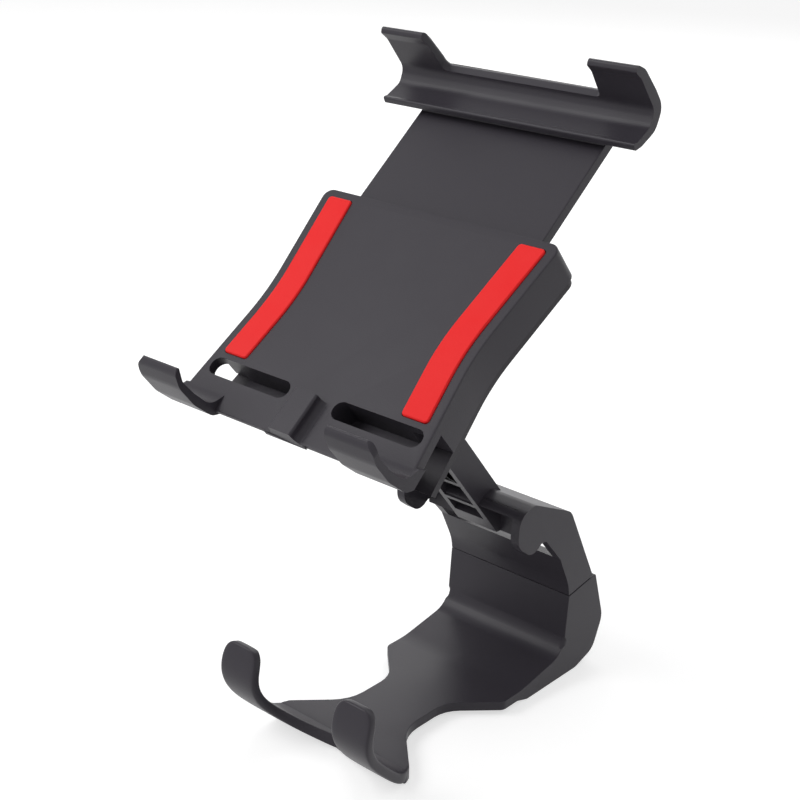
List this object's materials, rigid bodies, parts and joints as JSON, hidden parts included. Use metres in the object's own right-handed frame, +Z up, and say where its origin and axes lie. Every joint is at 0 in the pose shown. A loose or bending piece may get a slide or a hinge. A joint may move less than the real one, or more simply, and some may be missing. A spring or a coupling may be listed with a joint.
{
  "type": "clip-on device holder",
  "caption": "Clip-on holder: a sprung C clamp grips a game controller and its arm carries a tilting cradle with a sliding jaw for a handheld or phone.",
  "frame": {"origin": "on the flat of the base's rear foot, on the middle plane", "axes": "+X across to the right as seen by the user, +Y away from the user, +Z up; the cradle leans back 50.6 degrees from upright"},
  "size_m": [0.0772, 0.1168, 0.1728],
  "materials": {
    "charcoal_plastic": "satin",
    "dark_plastic": "satin",
    "red_rubber": "matte",
    "steel": "satin"
  },
  "bodies": {
    "lower": {"lower_clamp": "charcoal_plastic", "lower_rear_cover": "dark_plastic", "cover_screw_left": "steel", "cover_screw_right": "steel", "clamp_spring_left": "steel", "clamp_spring_right": "steel"},
    "upper": {"upper_clamp": "charcoal_plastic", "tongue_stop_screw": "steel", "hinge_bolt": "steel", "hinge_nut": "steel", "hinge_washer_left": "steel", "hinge_washer_right": "steel"},
    "cradle": {"cradle_front": "charcoal_plastic", "cradle_back": "dark_plastic", "grip_strip_left": "red_rubber", "grip_strip_right": "red_rubber", "cradle_screw_a": "steel", "cradle_screw_b": "steel", "cradle_screw_c": "steel", "cradle_screw_d": "steel", "friction_spring_left": "steel", "friction_spring_right": "steel"},
    "jaw": {"sliding_jaw": "charcoal_plastic"}
  },
  "joints": [
    {"name": "grip_slide", "type": "slide", "parent": "lower", "child": "upper", "axis": [0, 0, 1], "range_m": [0, 0.012], "stiffness_N_per_m": 300, "springref_m": -0.02, "deforming": ["clamp_spring_left", "clamp_spring_right"]},
    {"name": "cradle_tilt", "type": "hinge", "parent": "upper", "child": "cradle", "pos_m": [0, -0.04766, 0.09718], "axis": [1, 0, 0], "range_deg": [-30, 50]},
    {"name": "jaw_slide", "type": "slide", "parent": "cradle", "child": "jaw", "axis": [0, 0.7723, 0.6353], "range_m": [-0.028, 0.01]}
  ]
}
